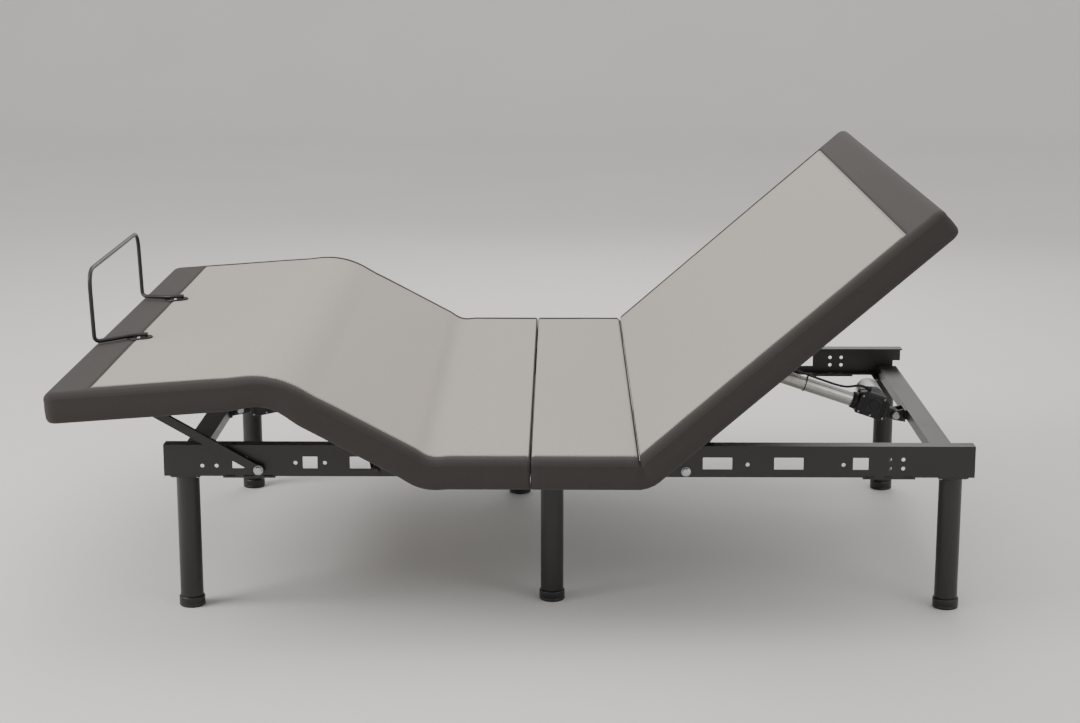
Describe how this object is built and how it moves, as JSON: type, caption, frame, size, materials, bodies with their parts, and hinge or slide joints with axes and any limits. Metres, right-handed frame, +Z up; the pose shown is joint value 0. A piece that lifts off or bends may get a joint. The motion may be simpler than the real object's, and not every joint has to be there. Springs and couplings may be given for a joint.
{
  "type": "adjustable bed base",
  "caption": "Upholstered bed base in folding sections on a black steel frame with legs, raised by electric actuators through roller lift arms.",
  "frame": {"origin": "middle of the plan, on the floor under the feet, as modelled with the head and thigh sections raised", "axes": "+X towards the head end, +Y towards the right of a sleeper lying face up, +Z up"},
  "size_m": [1.9724, 1.524, 0.9337],
  "materials": {
    "powder_coat": "satin black powder coat on steel",
    "zinc": "zinc plated",
    "aluminium": "satin",
    "black_plastic": "fine moulded grain",
    "nylon": "smooth",
    "board": "bare plywood and timber, wrapped in fabric",
    "upholstery": "woven, matt",
    "cable": "matt"
  },
  "bodies": {
    "base_frame": {"side_rail_left_head": "powder_coat", "side_rail_left_foot": "powder_coat", "side_rail_right_head": "powder_coat", "side_rail_right_foot": "powder_coat", "cross_member_head_end": "powder_coat", "cross_member_foot_end": "powder_coat", "cross_member_mid_head": "powder_coat", "cross_member_mid_foot": "powder_coat", "leg_head_left": "powder_coat", "foot_pad_head_left": "black_plastic", "leg_head_right": "powder_coat", "foot_pad_head_right": "black_plastic", "leg_foot_left": "powder_coat", "foot_pad_foot_left": "black_plastic", "leg_foot_right": "powder_coat", "foot_pad_foot_right": "black_plastic", "leg_mid_left": "powder_coat", "foot_pad_mid_left": "black_plastic", "leg_mid_right": "powder_coat", "foot_pad_mid_right": "black_plastic", "seat_board_head": "board", "seat_board_foot": "board", "seat_padding_head": "upholstery", "seat_padding_foot": "upholstery", "hip_hinge_pin": "zinc", "thigh_hinge_pin": "zinc", "control_box": "black_plastic", "head_actuator_bracket": "powder_coat", "thigh_actuator_bracket": "powder_coat", "head_motor_cable": "cable"},
    "head_section": {"head_board": "board", "head_padding": "upholstery", "head_lift_ramp_left": "powder_coat", "head_lift_ramp_right": "powder_coat"},
    "thigh_section": {"thigh_board": "board", "thigh_padding": "upholstery", "thigh_lift_ramp_left": "powder_coat", "thigh_lift_ramp_right": "powder_coat", "knee_hinge_pin": "zinc"},
    "foot_section": {"foot_board": "board", "foot_padding": "black_plastic", "foot_link_bracket_left": "powder_coat", "foot_link_bracket_right": "powder_coat", "mattress_retainer": "powder_coat"},
    "head_lift": {"head_lift_frame": "powder_coat"},
    "thigh_lift": {"thigh_lift_frame": "powder_coat"},
    "head_roller_left": {"head_lift_roller_left": "nylon"},
    "head_roller_right": {"head_lift_roller_right": "nylon"},
    "thigh_roller_left": {"thigh_lift_roller_left": "nylon"},
    "thigh_roller_right": {"thigh_lift_roller_right": "nylon"},
    "head_actuator": {"head_actuator_gearbox": "black_plastic", "head_actuator_motor": "zinc", "head_actuator_tube": "aluminium"},
    "head_rod": {"head_actuator_rod": "zinc"},
    "thigh_actuator": {"thigh_actuator_gearbox": "black_plastic", "thigh_actuator_motor": "zinc", "thigh_actuator_tube": "aluminium"},
    "thigh_rod": {"thigh_actuator_rod": "zinc"},
    "drag_link_left": {"drag_link_left": "powder_coat"},
    "drag_link_right": {"drag_link_right": "powder_coat"}
  },
  "joints": [
    {"name": "head_hinge", "type": "hinge", "parent": "base_frame", "child": "head_section", "pos_m": [0.24958, 0, 0.4], "axis": [0, -1, 0], "range_deg": [-41, 19]},
    {"name": "thigh_hinge", "type": "hinge", "parent": "base_frame", "child": "thigh_section", "pos_m": [-0.18812, 0, 0.4], "axis": [0, 1, 0], "range_deg": [-28, 12]},
    {"name": "knee_hinge", "type": "hinge", "parent": "thigh_section", "child": "foot_section", "pos_m": [-0.51555, 0, 0.55314], "axis": [0, 1, 0], "range_deg": [-13.9, 32.4]},
    {"name": "head_lift_pivot", "type": "hinge", "parent": "base_frame", "child": "head_lift", "pos_m": [0.35778, 0, 0.32], "axis": [0, -1, 0], "range_deg": [-47.2, 21.9]},
    {"name": "thigh_lift_pivot", "type": "hinge", "parent": "base_frame", "child": "thigh_lift", "pos_m": [-0.31892, 0, 0.32], "axis": [0, 1, 0], "range_deg": [-42.1, 18.1]},
    {"name": "head_actuator_pin", "type": "hinge", "parent": "base_frame", "child": "head_actuator", "pos_m": [0.89818, 0.04, 0.314], "axis": [0, 1, 0], "range_deg": [-11.5, 5.4], "deforming": ["head_motor_cable"]},
    {"name": "head_rod_slide", "type": "slide", "parent": "head_actuator", "child": "head_rod", "axis": [-0.9488, 0, 0.3159], "range_m": [-0.103, 0.048]},
    {"name": "thigh_actuator_pin", "type": "hinge", "parent": "base_frame", "child": "thigh_actuator", "pos_m": [-0.69382, 0.04, 0.325], "axis": [0, -1, 0], "range_deg": [-10.61, 4.57]},
    {"name": "thigh_rod_slide", "type": "slide", "parent": "thigh_actuator", "child": "thigh_rod", "axis": [0.9794, 0, 0.2021], "range_m": [-0.0423, 0.0182]},
    {"name": "drag_link_left_pivot", "type": "hinge", "parent": "base_frame", "child": "drag_link_left", "pos_m": [-0.57332, -0.53, 0.325], "axis": [0, 1, 0], "range_deg": [-27.4, 11.8]},
    {"name": "head_roller_left_axle", "type": "hinge", "parent": "head_lift", "child": "head_roller_left", "pos_m": [0.57223, -0.464, 0.5966], "axis": [0, 1, 0], "range_deg": [-265, 123]},
    {"name": "thigh_roller_left_axle", "type": "hinge", "parent": "thigh_lift", "child": "thigh_roller_left", "pos_m": [-0.41909, -0.464, 0.45112], "axis": [0, -1, 0], "range_deg": [-191, 82]},
    {"name": "drag_link_right_pivot", "type": "hinge", "parent": "base_frame", "child": "drag_link_right", "pos_m": [-0.57332, 0.53, 0.325], "axis": [0, 1, 0], "range_deg": [-27.4, 11.8]},
    {"name": "head_roller_right_axle", "type": "hinge", "parent": "head_lift", "child": "head_roller_right", "pos_m": [0.57223, 0.464, 0.5966], "axis": [0, 1, 0], "range_deg": [-265, 123]},
    {"name": "thigh_roller_right_axle", "type": "hinge", "parent": "thigh_lift", "child": "thigh_roller_right", "pos_m": [-0.41909, 0.464, 0.45112], "axis": [0, -1, 0], "range_deg": [-191, 82]}
  ],
  "couplings": [
    {"joint": "knee_hinge", "follows": "thigh_hinge", "ratio": -1.154},
    {"joint": "head_lift_pivot", "follows": "head_hinge", "ratio": 1.15},
    {"joint": "thigh_lift_pivot", "follows": "thigh_hinge", "ratio": 1.5},
    {"joint": "head_actuator_pin", "follows": "head_hinge", "ratio": 0.28},
    {"joint": "head_rod_slide", "follows": "head_hinge", "m_per_rad": 0.14324},
    {"joint": "thigh_actuator_pin", "follows": "thigh_hinge", "ratio": 0.3777},
    {"joint": "thigh_rod_slide", "follows": "thigh_hinge", "m_per_rad": 0.086306},
    {"joint": "drag_link_left_pivot", "follows": "thigh_hinge", "ratio": 0.975},
    {"joint": "head_roller_left_axle", "follows": "head_hinge", "ratio": 6.45},
    {"joint": "thigh_roller_left_axle", "follows": "thigh_hinge", "ratio": 6.8},
    {"joint": "drag_link_right_pivot", "follows": "thigh_hinge", "ratio": 0.975},
    {"joint": "head_roller_right_axle", "follows": "head_hinge", "ratio": 6.45},
    {"joint": "thigh_roller_right_axle", "follows": "thigh_hinge", "ratio": 6.8}
  ]
}
